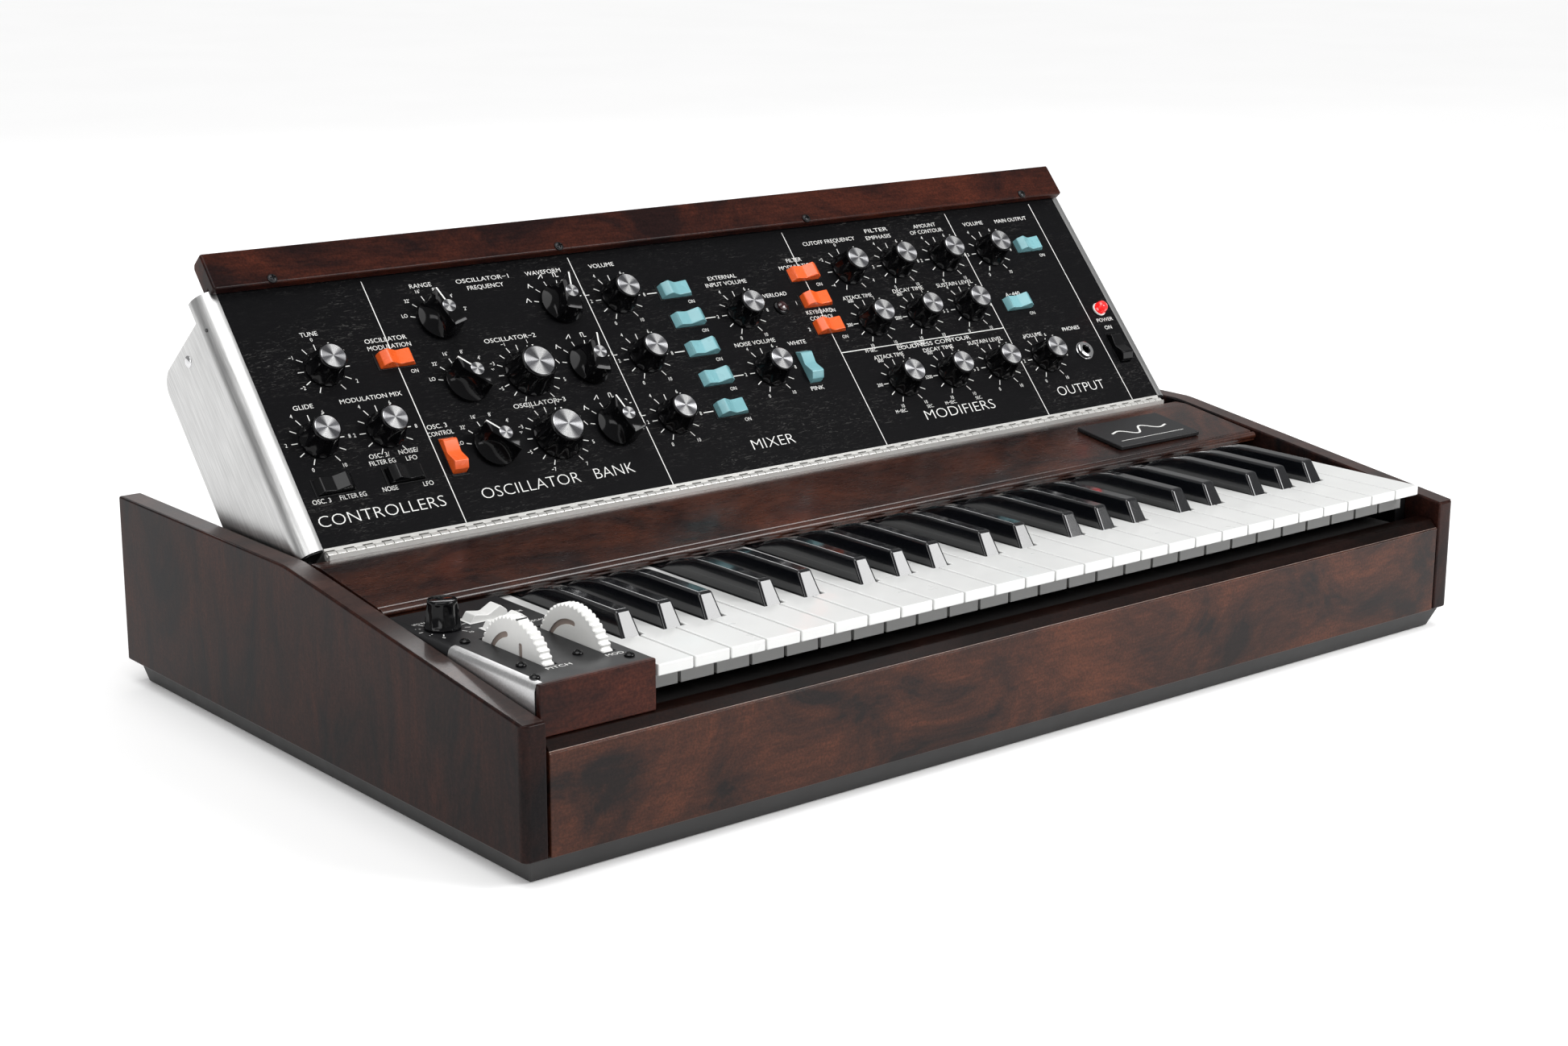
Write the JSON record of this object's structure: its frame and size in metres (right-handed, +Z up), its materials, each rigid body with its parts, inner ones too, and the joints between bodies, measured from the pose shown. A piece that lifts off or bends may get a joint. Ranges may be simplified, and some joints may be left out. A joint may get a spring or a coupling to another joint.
{
  "type": "analog synthesizer",
  "caption": "Monophonic analog keyboard synthesizer in a dark wooden case, with pitch and modulation wheels and a control panel that tilts up on a piano hinge.",
  "frame": {"origin": "centre of the footprint on the surface that the base board stands on", "axes": "+X to the player's right, +Y to the back, +Z up"},
  "size_m": [0.727, 0.4316, 0.2693],
  "materials": {
    "walnut": "dark stained, satin lacquer",
    "plinth": "painted charcoal",
    "key_white": "gloss",
    "key_black": "gloss",
    "face_black": "textured black",
    "chassis_alu": "brushed",
    "steel": "satin",
    "frame_black": "black finish",
    "plate_black": "satin black",
    "knob_black": "gloss black with metal inlay",
    "rocker_orange": "satin",
    "rocker_blue": "satin",
    "rocker_white": "satin",
    "rocker_black": "satin",
    "wheel_white": "satin",
    "jack_chrome": "polished",
    "lamp_red": "clear red",
    "board": "matt"
  },
  "bodies": {
    "case": {"base_board": "plinth", "side_left": "walnut", "side_right": "walnut", "front_rail": "walnut", "back_panel": "walnut", "key_cover": "walnut", "nameplate": "face_black", "power_supply": "frame_black", "keyboard_frame": "frame_black", "controller_block": "walnut", "controller_plate": "plate_black", "controller_bracket": "steel", "hinge_lower_leaf": "steel", "hinge_pin": "steel"},
    "control_panel": {"panel_chassis": "chassis_alu", "faceplate": "face_black", "top_cap": "walnut", "rear_cover": "chassis_alu", "control_board": "board", "phones_jack": "jack_chrome", "power_lamp": "lamp_red", "hinge_upper_leaf": "steel"},
    "prop_stand": {"prop_stand": "steel"},
    "pitch_wheel": {"pitch_wheel": "wheel_white"},
    "mod_wheel": {"mod_wheel": "wheel_white"},
    "lfo_rate_knob": {"lfo_rate_knob": "knob_black"},
    "glide_rocker": {"glide_rocker": "rocker_white"},
    "decay_rocker": {"decay_rocker": "rocker_white"},
    "tune_knob": {"tune_knob": "knob_black"},
    "osc1_level_knob": {"osc1_level_knob": "knob_black"},
    "noise_level_knob": {"noise_level_knob": "knob_black"},
    "cutoff_knob": {"cutoff_knob": "knob_black"},
    "emphasis_knob": {"emphasis_knob": "knob_black"},
    "main_volume_knob": {"main_volume_knob": "knob_black"},
    "osc2_frequency_knob": {"osc2_frequency_knob": "knob_black"},
    "osc1_range_knob": {"osc1_range_knob": "knob_black"},
    "osc1_waveform_knob": {"osc1_waveform_knob": "knob_black"},
    "osc_modulation_rocker": {"osc_modulation_rocker": "rocker_orange"},
    "filter_modulation_rocker": {"filter_modulation_rocker": "rocker_orange"},
    "osc1_switch_rocker": {"osc1_switch_rocker": "rocker_blue"},
    "noise_colour_rocker": {"noise_colour_rocker": "rocker_blue"},
    "main_output_rocker": {"main_output_rocker": "rocker_blue"},
    "mod_source_one_rocker": {"mod_source_one_rocker": "rocker_black"},
    "mod_source_two_rocker": {"mod_source_two_rocker": "rocker_black"},
    "power_rocker": {"power_rocker": "rocker_black"},
    "key_f1": {"key_f1": "key_white"},
    "key_g1": {"key_g1": "key_white"},
    "key_a1": {"key_a1": "key_white"},
    "key_b1": {"key_b1": "key_white"},
    "key_c1": {"key_c1": "key_white"},
    "key_d1": {"key_d1": "key_white"},
    "key_e1": {"key_e1": "key_white"},
    "key_f_sharp1": {"key_f_sharp1": "key_black"},
    "key_g_sharp1": {"key_g_sharp1": "key_black"},
    "key_a_sharp1": {"key_a_sharp1": "key_black"},
    "key_c_sharp1": {"key_c_sharp1": "key_black"},
    "key_d_sharp1": {"key_d_sharp1": "key_black"},
    "upper_naturals": {"upper_naturals": "key_white"},
    "upper_sharps": {"upper_sharps": "key_black"}
  },
  "joints": [
    {"name": "panel_tilt", "type": "hinge", "parent": "case", "child": "control_panel", "pos_m": [0, 0.0185, 0.1153], "axis": [1, 0, 0], "range_deg": [-49, 30]},
    {"name": "prop_swing", "type": "hinge", "parent": "control_panel", "child": "prop_stand", "pos_m": [0, 0.10436, 0.09366], "axis": [1, 0, 0], "range_deg": [-56, 91.1]},
    {"name": "pitch_bend", "type": "hinge", "parent": "case", "child": "pitch_wheel", "pos_m": [-0.3249, -0.155, 0.0892], "axis": [-1, 0, 0], "range_deg": [-40, 40], "stiffness_Nm_per_rad": 0.08},
    {"name": "modulation", "type": "hinge", "parent": "case", "child": "mod_wheel", "pos_m": [-0.2889, -0.155, 0.0892], "axis": [-1, 0, 0], "range_deg": [0, 80]},
    {"name": "lfo_rate", "type": "hinge", "parent": "case", "child": "lfo_rate_knob", "pos_m": [-0.3331, -0.0976, 0.1015], "axis": [0, 0, 1], "range_deg": [-150, 150]},
    {"name": "glide_tip", "type": "hinge", "parent": "case", "child": "glide_rocker", "pos_m": [-0.3055, -0.0955, 0.0995], "axis": [0, 1, 0], "range_deg": [0, 18.6]},
    {"name": "decay_tip", "type": "hinge", "parent": "case", "child": "decay_rocker", "pos_m": [-0.3055, -0.1155, 0.0995], "axis": [0, 1, 0], "range_deg": [0, 18.6]},
    {"name": "tune_turn", "type": "hinge", "parent": "control_panel", "child": "tune_knob", "pos_m": [-0.2891, 0.09393, 0.2033], "axis": [0, -0.7547, 0.6561], "range_deg": [-150, 150]},
    {"name": "osc1_level_turn", "type": "hinge", "parent": "control_panel", "child": "osc1_level_knob", "pos_m": [-0.0699, 0.1083, 0.21982], "axis": [0, -0.7547, 0.6561], "range_deg": [-150, 150]},
    {"name": "noise_level_turn", "type": "hinge", "parent": "control_panel", "child": "noise_level_knob", "pos_m": [0.0183, 0.06434, 0.16926], "axis": [0, -0.7547, 0.6561], "range_deg": [-150, 150]},
    {"name": "cutoff_turn", "type": "hinge", "parent": "control_panel", "child": "cutoff_knob", "pos_m": [0.1191, 0.10738, 0.21877], "axis": [0, -0.7547, 0.6561], "range_deg": [-150, 150]},
    {"name": "emphasis_turn", "type": "hinge", "parent": "control_panel", "child": "emphasis_knob", "pos_m": [0.1627, 0.10738, 0.21877], "axis": [0, -0.7547, 0.6561], "range_deg": [-150, 150]},
    {"name": "main_volume_turn", "type": "hinge", "parent": "control_panel", "child": "main_volume_knob", "pos_m": [0.2505, 0.10719, 0.21854], "axis": [0, -0.7547, 0.6561], "range_deg": [-150, 150]},
    {"name": "osc2_frequency_turn", "type": "hinge", "parent": "control_panel", "child": "osc2_frequency_knob", "pos_m": [-0.1576, 0.07944, 0.18662], "axis": [0, -0.7547, 0.6561], "range_deg": [-135, 135]},
    {"name": "osc1_range_turn", "type": "hinge", "parent": "control_panel", "child": "osc1_range_knob", "pos_m": [-0.2018, 0.10869, 0.22028], "axis": [0, -0.7547, 0.6561], "range_deg": [-90, 60]},
    {"name": "osc1_waveform_turn", "type": "hinge", "parent": "control_panel", "child": "osc1_waveform_knob", "pos_m": [-0.1133, 0.1085, 0.22005], "axis": [0, -0.7547, 0.6561], "range_deg": [-60, 90]},
    {"name": "osc_modulation_tip", "type": "hinge", "parent": "control_panel", "child": "osc_modulation_rocker", "pos_m": [-0.2416, 0.09538, 0.20191], "axis": [0, 0.6561, 0.7547], "range_deg": [-18.6, 0]},
    {"name": "filter_modulation_tip", "type": "hinge", "parent": "control_panel", "child": "filter_modulation_rocker", "pos_m": [0.0808, 0.10961, 0.21829], "axis": [0, 0.6561, 0.7547], "range_deg": [0, 18.6]},
    {"name": "osc1_switch_tip", "type": "hinge", "parent": "control_panel", "child": "osc1_switch_rocker", "pos_m": [-0.0261, 0.10955, 0.21821], "axis": [0, 0.6561, 0.7547], "range_deg": [-18.6, 0]},
    {"name": "noise_colour_tip", "type": "hinge", "parent": "control_panel", "child": "noise_colour_rocker", "pos_m": [0.049, 0.06474, 0.16666], "axis": [1, 0, 0], "range_deg": [0, 18.6]},
    {"name": "main_output_tip", "type": "hinge", "parent": "control_panel", "child": "main_output_rocker", "pos_m": [0.288, 0.10942, 0.21806], "axis": [0, 0.6561, 0.7547], "range_deg": [-18.6, 0]},
    {"name": "mod_source_one_tip", "type": "hinge", "parent": "control_panel", "child": "mod_source_one_rocker", "pos_m": [-0.313, 0.04683, 0.14606], "axis": [0, 0.6561, 0.7547], "range_deg": [0, 18.6]},
    {"name": "mod_source_two_tip", "type": "hinge", "parent": "control_panel", "child": "mod_source_two_rocker", "pos_m": [-0.267, 0.0467, 0.14591], "axis": [0, 0.6561, 0.7547], "range_deg": [-18.6, 0]},
    {"name": "power_tip", "type": "hinge", "parent": "control_panel", "child": "power_rocker", "pos_m": [0.3219, 0.04945, 0.14908], "axis": [1, 0, 0], "range_deg": [0, 18.6]},
    {"name": "press_f1", "type": "hinge", "parent": "case", "child": "key_f1", "pos_m": [0, 0, 0.088], "axis": [1, 0, 0], "range_deg": [0, 2.7], "stiffness_Nm_per_rad": 1.2, "springref_deg": -8.02},
    {"name": "press_g1", "type": "hinge", "parent": "case", "child": "key_g1", "pos_m": [0, 0, 0.088], "axis": [1, 0, 0], "range_deg": [0, 2.7], "stiffness_Nm_per_rad": 1.2, "springref_deg": -8.02},
    {"name": "press_a1", "type": "hinge", "parent": "case", "child": "key_a1", "pos_m": [0, 0, 0.088], "axis": [1, 0, 0], "range_deg": [0, 2.7], "stiffness_Nm_per_rad": 1.2, "springref_deg": -8.02},
    {"name": "press_b1", "type": "hinge", "parent": "case", "child": "key_b1", "pos_m": [0, 0, 0.088], "axis": [1, 0, 0], "range_deg": [0, 2.7], "stiffness_Nm_per_rad": 1.2, "springref_deg": -8.02},
    {"name": "press_c1", "type": "hinge", "parent": "case", "child": "key_c1", "pos_m": [0, 0, 0.088], "axis": [1, 0, 0], "range_deg": [0, 2.7], "stiffness_Nm_per_rad": 1.2, "springref_deg": -8.02},
    {"name": "press_d1", "type": "hinge", "parent": "case", "child": "key_d1", "pos_m": [0, 0, 0.088], "axis": [1, 0, 0], "range_deg": [0, 2.7], "stiffness_Nm_per_rad": 1.2, "springref_deg": -8.02},
    {"name": "press_e1", "type": "hinge", "parent": "case", "child": "key_e1", "pos_m": [0, 0, 0.088], "axis": [1, 0, 0], "range_deg": [0, 2.7], "stiffness_Nm_per_rad": 1.2, "springref_deg": -8.02},
    {"name": "press_f_sharp1", "type": "hinge", "parent": "case", "child": "key_f_sharp1", "pos_m": [0, 0, 0.088], "axis": [1, 0, 0], "range_deg": [0, 2.7], "stiffness_Nm_per_rad": 1.2, "springref_deg": -8.02},
    {"name": "press_g_sharp1", "type": "hinge", "parent": "case", "child": "key_g_sharp1", "pos_m": [0, 0, 0.088], "axis": [1, 0, 0], "range_deg": [0, 2.7], "stiffness_Nm_per_rad": 1.2, "springref_deg": -8.02},
    {"name": "press_a_sharp1", "type": "hinge", "parent": "case", "child": "key_a_sharp1", "pos_m": [0, 0, 0.088], "axis": [1, 0, 0], "range_deg": [0, 2.7], "stiffness_Nm_per_rad": 1.2, "springref_deg": -8.02},
    {"name": "press_c_sharp1", "type": "hinge", "parent": "case", "child": "key_c_sharp1", "pos_m": [0, 0, 0.088], "axis": [1, 0, 0], "range_deg": [0, 2.7], "stiffness_Nm_per_rad": 1.2, "springref_deg": -8.02},
    {"name": "press_d_sharp1", "type": "hinge", "parent": "case", "child": "key_d_sharp1", "pos_m": [0, 0, 0.088], "axis": [1, 0, 0], "range_deg": [0, 2.7], "stiffness_Nm_per_rad": 1.2, "springref_deg": -8.02},
    {"name": "press_upper_naturals", "type": "hinge", "parent": "case", "child": "upper_naturals", "pos_m": [0, 0, 0.088], "axis": [1, 0, 0], "range_deg": [0, 2.7], "stiffness_Nm_per_rad": 18, "springref_deg": -8.02},
    {"name": "press_upper_sharps", "type": "hinge", "parent": "case", "child": "upper_sharps", "pos_m": [0, 0, 0.088], "axis": [1, 0, 0], "range_deg": [0, 2.7], "stiffness_Nm_per_rad": 18, "springref_deg": -8.02}
  ],
  "couplings": [
    {"joint": "prop_swing", "follows": "panel_tilt", "ratio": -1.857}
  ]
}
